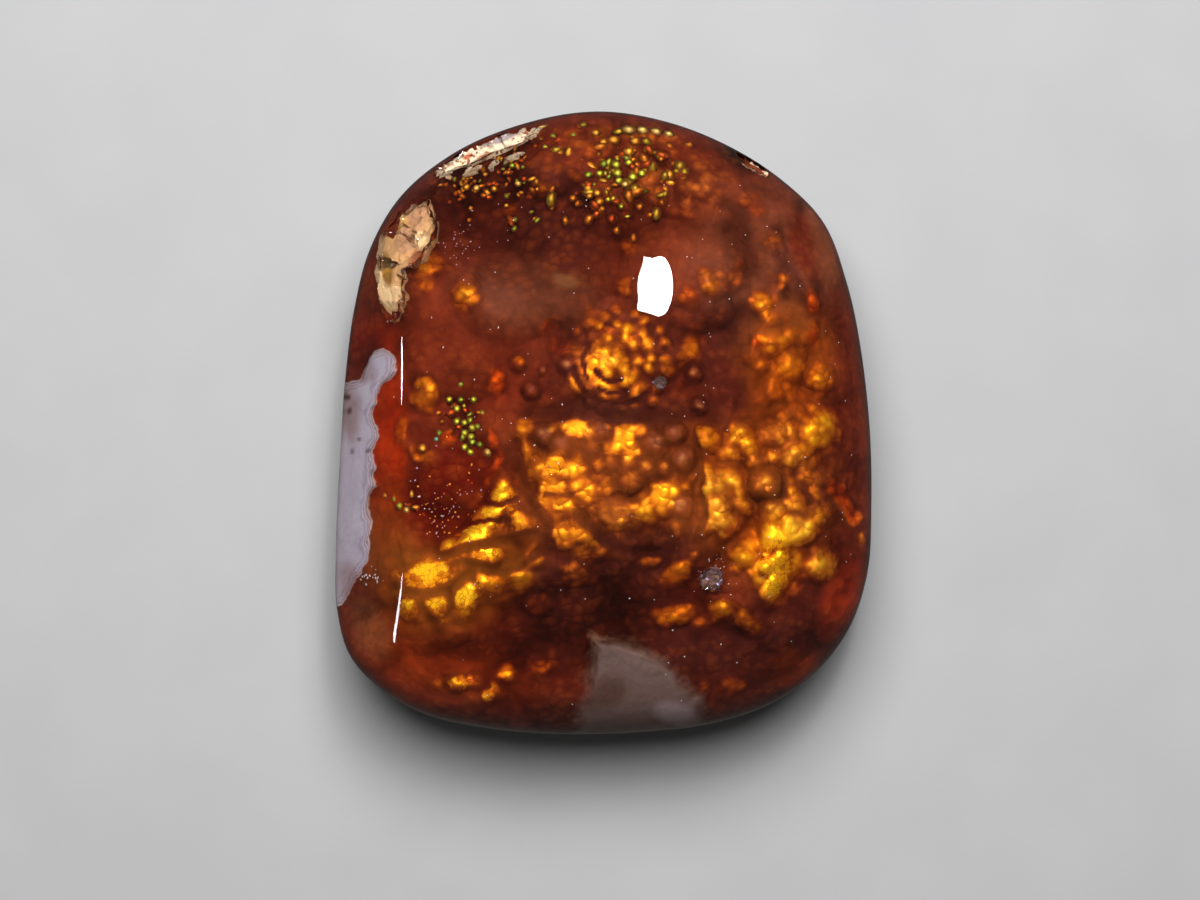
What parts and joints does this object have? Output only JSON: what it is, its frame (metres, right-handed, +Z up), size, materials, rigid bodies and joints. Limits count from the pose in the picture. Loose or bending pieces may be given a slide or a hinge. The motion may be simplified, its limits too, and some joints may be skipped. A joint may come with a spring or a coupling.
{
  "type": "polished freeform fire agate specimen",
  "caption": "Polished freeform agate: a low dome on a flat ground back, with a steep left wall, a rough vug and chipped rim.",
  "frame": {"origin": "middle of the stone's footprint, on the surface that its flat back lies on", "axes": "+Z up through the dome, +Y towards the narrower arched end, +X to the right"},
  "size_m": [0.0216, 0.025, 0.01],
  "materials": {
    "agate": "high polish over see-through amber chalcedony, with iridescent gold botryoidal layers inside"
  },
  "bodies": {
    "root": {"fire_agate": "agate"}
  },
  "joints": []
}
